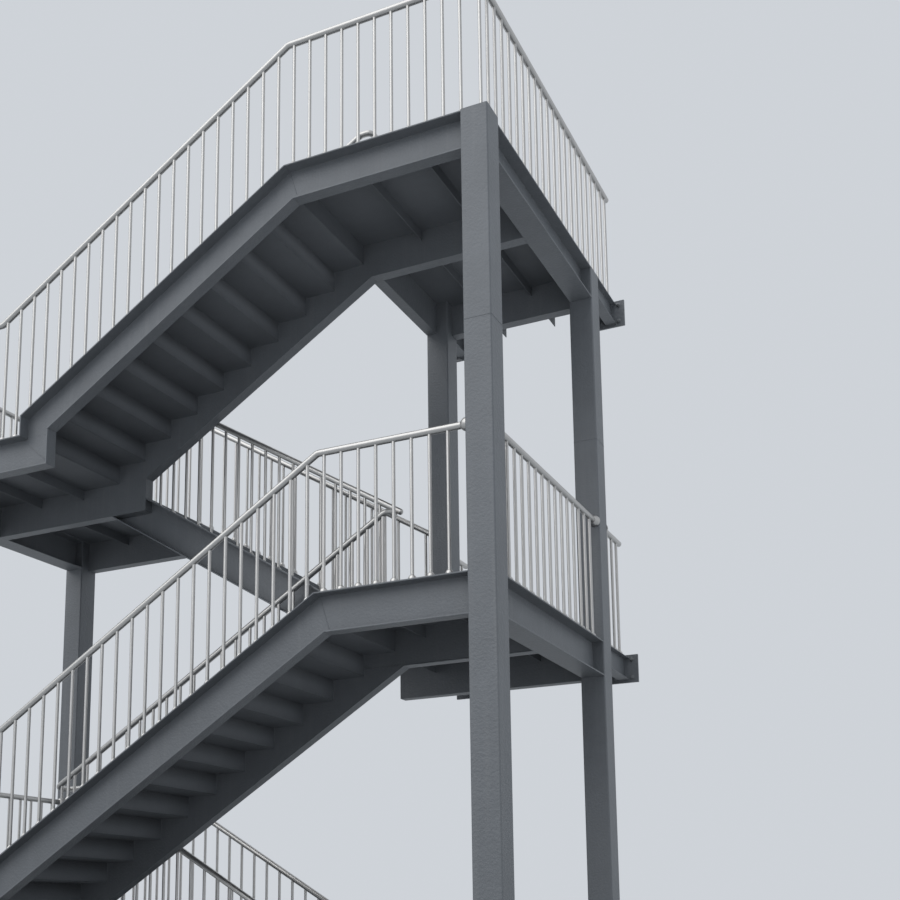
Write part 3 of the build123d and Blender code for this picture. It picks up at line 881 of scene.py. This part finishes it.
def bell(seat, face, along, rings, vertices=12):
    """Adds a closed bell-shaped cup to the open piece; its foot lies on the face."""
    bpy.ops.mesh.select_all(action="DESELECT")
    radius, height = rings[0][0] * 1.03, 0.0
    bpy.ops.mesh.primitive_circle_add(
        vertices=vertices,
        radius=radius,
        fill_type="NGON",
        location=seat,
        rotation=face.to_track_quat("Z", "Y").to_euler(),
    )
    for ring, rise in rings:
        pull = along * (rise - height)
        bpy.ops.mesh.extrude_region_move(TRANSFORM_OT_translate={"value": pull})
        centre = seat + along * rise
        bpy.ops.transform.resize(value=(ring / radius,) * 3, center_override=centre)
        radius, height = ring, rise
    bpy.ops.mesh.select_linked()
    bpy.ops.mesh.normals_make_consistent(inside=False)


def bar(x, y, foot, top, slope):
    """One upright tube with a bell-shaped cup over its weld; the cup's foot lies on the slope."""
    piece = new_piece("bar")
    bpy.ops.mesh.primitive_cylinder_add(
        vertices=12,
        radius=bar_radius,
        depth=top - foot + bite,
        location=(x, y, (foot + top - bite) / 2),
    )
    bell(Vector((x, y, foot)), Vector((-slope, 0, 1)), Vector((0, 0, 1)), foot_cup)
    return close_piece(piece)


print("cup over a bar's foot:", 2 * foot_cup[0][0], "wide,", foot_cup[-1][1], "high")

# %% [markdown]
# The first bar of a row is modelled, and an array repeats it. On an outer string the feet follow
# the slope, so one row goes down it. A tread carries two bars of different heights, so these are
# two rows. All bars of a flight share one pitch.

# %% Rows of bars


def bar_row(x, y, foot, top, count, step, slope=0.0):
    """A bar repeated along a step."""
    return repeat(bar(x, y, foot, top, slope), count, step)


def bar_places(start, end):
    """Distances of the bars between two distances, at the pitch that all the railings share."""
    first = math.floor((start + bar_offset) / bar_pitch) + 1
    last = math.ceil((end + bar_offset) / bar_pitch) - 1
    return [k * bar_pitch - bar_offset for k in range(first, last + 1)]


def string_bars(flight, y, start, end):
    """Bars on an outer string: level, down the slope, one by one over its foot, and level."""
    places = bar_places(start, end)
    rail_low = flight.run + going
    level = (flight.side * bar_pitch, 0, 0)
    down = (flight.side * bar_pitch, 0, -flight.slope * bar_pitch)
    bars = []
    for row, step, slope in (
        ([d for d in places if d <= 0], level, 0.0),
        ([d for d in places if 0 < d < flight.run], down, -flight.side * flight.slope),
        *(([d], level, 0.0) for d in places if flight.run <= d < rail_low),
        ([d for d in places if d >= rail_low], level, 0.0),
    ):
        if row:
            first, top = row[0], flight.nose(row[0]) + rail_axis
            foot = flight.nose(first) if first < flight.run else flight.low
            bars.append(bar_row(flight.x(first), y, foot, top, len(row), step, slope))
    return bars


def tread_bars(flight, y, start, end):
    """Bars on the ends of the treads: a level row, two rows down the steps, and single ones."""
    places = bar_places(start, end)
    on_steps = [d for d in places if 0 < d < flight.run]
    level = (flight.side * bar_pitch, 0, 0)
    down = (flight.side * going, 0, -flight.riser)
    bars = []
    for row, step in (
        ([d for d in places if d <= 0], level),
        (on_steps[0::2], down),
        (on_steps[1::2], down),
        *(([d], level) for d in places if d >= flight.run),
    ):
        if row:
            foot = flight.tread(row[0] + 1e-6 if row[0] > 0 else row[0])
            top = flight.nose(row[0]) + inner_rail_axis
            bars.append(bar_row(flight.x(row[0]), y, foot, top, len(row), step))
    return bars


def across_bars(x, start, end, level, axis=rail_axis):
    """Bars on a landing's end, in a row along Y."""
    count = int((end - start) / bar_pitch) + 1
    return [bar_row(x, start, level, level + axis, count, (0, bar_pitch, 0))]


print("bars beside the lowest flight:", len(bar_places(0, flight_1.run)))

# %% [markdown]
# A handrail is one tube. By hand it is drawn as a ring that is pulled along the first straight,
# spun round the bend, pulled along the next straight, and so on. A free end gets a small dome,
# and an end that runs into another tube is closed flat.

# %% Handrail drawn from a ring


def close_end(centre, along, dome):
    """Closes the open ring at an end of a rail, flat or with a low dome."""
    rings = ((0.35, 0.94), (0.35, 0.78), (0.25, 0.45), (0.05, 0.12)) if dome else ()
    reach, drawn_in = 0.0, 1.0
    for rise, share in rings:
        pull = rise * rail_radius * 0.55
        reach += pull
        bpy.ops.mesh.extrude_region_move(TRANSFORM_OT_translate={"value": along * pull})
        ratio = share / drawn_in
        bpy.ops.transform.resize(value=(ratio,) * 3, center_override=centre + along * reach)
        drawn_in = share
    bpy.ops.mesh.edge_face_add()


def handrail(points, domes=(True, True)):
    """A round rail along points, with a bend at each inner point."""
    points = [Vector(p) for p in points]
    piece = new_piece("handrail")
    first = (points[1] - points[0]).normalized()
    turned = first.to_track_quat("Z", "Y").to_euler()
    bpy.ops.mesh.primitive_circle_add(
        vertices=18, radius=rail_radius, fill_type="NOTHING", location=points[0], rotation=turned
    )
    here = points[0]
    for before, corner, after in zip(points, points[1:], points[2:]):
        along, onward = (corner - before).normalized(), (after - corner).normalized()
        angle = along.angle(onward)
        room = min((corner - here).length, (after - corner).length)
        cut = min(rail_bend * math.tan(angle / 2), 0.98 * room)
        axis = along.cross(onward).normalized()
        bend_start = corner - along * cut
        centre = bend_start + axis.cross(along) * cut / math.tan(angle / 2)
        bpy.ops.mesh.extrude_region_move(TRANSFORM_OT_translate={"value": bend_start - here})
        bpy.ops.mesh.spin(
            steps=max(3, round(math.degrees(angle) / 11)), angle=-angle, center=centre, axis=axis
        )
        here = corner + onward * cut
    bpy.ops.mesh.extrude_region_move(TRANSFORM_OT_translate={"value": points[-1] - here})
    close_end(points[-1], (points[-1] - points[-2]).normalized(), domes[1])
    bpy.ops.mesh.select_all(action="DESELECT")
    bpy.ops.object.mode_set(mode="OBJECT")
    for vertex in piece.data.vertices:
        away = vertex.co - points[0]
        vertex.select = abs(away.dot(first)) < 1e-5 and away.length < bend_corner
    bpy.ops.object.mode_set(mode="EDIT")
    close_end(points[0], -first, domes[0])
    bpy.ops.mesh.select_all(action="SELECT")
    bpy.ops.mesh.normals_make_consistent(inside=False)
    return close_piece(piece)


print("bends of the handrails have a radius of", rail_bend)

# %% [markdown]
# The bars and the rail of a railing were welded into one panel in the workshop, so here they are
# joined into one piece. Bars and rails keep a finish each, because their grain runs along them.

# %% A railing from its bars and rails


def panel(node, bars, rails):
    """Joins the bars and rails of a railing into one piece, with a finish for each."""
    for row in bars:
        row.data.materials.append(satin_bar)
    for rail in rails:
        rail.data.materials.append(satin_rail)
    select_only(bars[0])
    for other in bars[1:] + rails:
        other.select_set(True)
    bpy.ops.object.join()
    piece = bpy.context.object
    piece.name = f"{node}_tubes"
    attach(piece, "root")
    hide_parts(node)
    print(piece.name, len(piece.data.polygons), "faces")


def rail_line(flight, y, axis, start, end):
    """Points of a handrail over a flight, with its bends over the ends of the slope."""
    bends = [d for d in (0, flight.run + going) if start < d < end]
    return [(flight.x(d), y, flight.nose(d) + axis) for d in [start, *bends, end]]


print("railings to make", sum(node.startswith("railing") for node in nodes))

# %% [markdown]
# The outer railings stand on the flanges of the strings, so the feet of their bars follow the
# slope, and the handrail bends twice. The far flights have the same in mirror image. There the
# upper rail runs against a column with its slope, and the lower one ends free at the foot.

# %% Outer railings
upper_rail_end = upper_column_x - rail_radius * flight_3.slope
for number, y, top_x, low_x, domes in (
    (2, near_y, right_column_x, left_column_x, (True, True)),
    (4, near_y, end_x - bend_corner, left_x + bend_corner, (False, False)),
    (1, far_y, left_column_x, edge_foot + free_end, (True, True)),
    (3, far_y, left_x + bend_corner, upper_rail_end, (False, True)),
):
    flight = flights[number - 1]
    start, end = (flight.side * (x - flight.edge) for x in (top_x, low_x))
    last = end - first_bar if y == near_y else flight.run
    bars = string_bars(flight, y, start + first_bar, last)
    rail = handrail(rail_line(flight, y, rail_axis, start, end), domes)
    panel(f"railing_flight_{number}_outer", bars, [rail])

# %% [markdown]
# The inner railings stand on the ends of the treads. On a landing the handrail turns once more
# and runs across the narrow gap to the rail of the next flight, so that a hand can stay on it.
# The rails of the far flights run straight, and end free at the foot.

# %% Inner railings
turn_y = far_inner_y - rail_radius
guard_end = edge_foot - guard_x + bend_corner
for number, flight, top_end in ((2, flight_2, landing_reach), (4, flight_4, guard_end)):
    low_end = flight.run + going
    points = rail_line(flight, near_inner_y, inner_rail_axis, top_end, low_end)
    points.append((flight.x(low_end), turn_y, points[-1][2]))
    if number == 2:
        points.insert(0, (flight.x(top_end), turn_y, points[0][2]))
    bars = tread_bars(flight, near_inner_y, top_end, low_end)
    panel(f"railing_flight_{number}_inner", bars, [handrail(points, (False, False))])

for number, flight, end, last_bar in (
    (1, flight_1, flight_1.run + free_end, flight_1.run),
    (3, flight_3, flight_3.run + going, flight_3.run + going - landing_reach),
):
    points = rail_line(flight, far_inner_y, inner_rail_axis, -going - rail_radius, end)
    bars = tread_bars(flight, far_inner_y, -going + first_bar, last_bar)
    panel(f"railing_flight_{number}_inner", bars, [handrail(points)])

# %% [markdown]
# The open ends of the landings are closed by level railings that run along the depth of the
# stair. Three of them turn a corner to meet the railing of a flight, as one bent rail.

# %% Level railings that turn a corner
end_before, guard_before = end_x - bend_corner, guard_x - bend_corner
left_after = left_x + bend_corner


def level_rail(high, places, domes=(True, True)):
    """A handrail at one height, along places in plan."""
    return [handrail([(x, y, high) for x, y in places], domes)]


places = ((end_before, near_y), (end_x, near_y), (end_x, wall_end_y))
bars = across_bars(end_x, near_y, wall_end_y, level_top)
panel("railing_top_landing_end", bars, level_rail(level_top + rail_axis, places, (False, True)))

places = ((guard_before, near_inner_y), (guard_x, near_inner_y), (guard_x, wall_end_y))
last = wall_end_y - bar_offset
bars = across_bars(guard_x, guard_first_y, last, level_top, inner_rail_axis)
rails = level_rail(level_top + inner_rail_axis, places, (False, True))
panel("railing_top_landing_open_side", bars, rails)

places = ((left_after, near_y), (left_x, near_y), (left_x, far_y), (left_after, far_y))
bars = across_bars(left_x, near_y, far_y, level_half_high)
rails = level_rail(level_half_high + rail_axis, places, (False, False))
panel("railing_half_landing_upper_end", bars, rails)

# %% [markdown]
# The other level railings fill a space between two columns, or stand behind a column over a tie.
# Their rails are straight, and end on a column's face or free with a dome.

# %% Level railings between columns and over the ties
for node, x, level in (
    ("railing_half_landing_lower_end", left_x, level_half_low),
    ("railing_main_landing_end", end_x, level_main),
):
    bars = across_bars(x, front_column_y + bar_offset, back_column_y - first_bar, level)
    panel(node, bars, level_rail(level + rail_axis, ((x, front_column_y), (x, back_column_y))))

bars, rails = [], []
first = behind_column_y + 2 * bar_offset
for x in (end_x, guard_x):
    bars += across_bars(x, first, last, level_main)
    rails += level_rail(level_main + rail_axis, ((x, behind_column_y), (x, wall_end_y)))
panel("railing_main_landing_wall_side", bars, rails)

# %% [markdown]
# On a column the large cup sits flat on the paint, and its narrow end holds the rail. Only the
# rail that comes down the upper far flight meets its column at a slant.

# %% Cups where the handrails meet the columns
rail_cup = ((0.049, 0.014), (0.046, 0.026), (0.0385, 0.039), (0.0300, 0.048), (0.0250, 0.052))
main_rail, half_rail = level_main + rail_axis, level_half_low + rail_axis
slant = flight_3.nose(upper_column_x - edge_half_high) + rail_axis
main_cups = (
    ((right_column_x, near_y, main_rail), (-1, 0, 0)),
    ((end_x, front_column_y, main_rail), (0, 1, 0)),
    ((end_x, back_column_y, main_rail), (0, -1, 0)),
    ((end_x, behind_column_y, main_rail), (0, 1, 0)),
    ((guard_x, behind_column_y, main_rail), (0, 1, 0)),
    ((upper_column_x, far_y, slant), (-1, 0, flight_3.slope)),
)
half_cups = (
    ((left_column_x, near_y, half_rail), (1, 0, 0)),
    ((left_column_x, far_y, half_rail), (1, 0, 0)),
    ((left_x, front_column_y, half_rail), (0, 1, 0)),
    ((left_x, back_column_y, half_rail), (0, -1, 0)),
)
for name, places in (("main_landing", main_cups), ("half_landing_lower", half_cups)):
    cups = new_piece(f"{name}_rail_cups")
    for seat, along in places:
        along = Vector(along)
        face = Vector((along.x, along.y, 0)).normalized()
        bell(Vector(seat), face, along, rail_cup, 24)
    settle(close_piece(cups), satin_rail, "satin_stainless")
    print(cups.name, len(places))
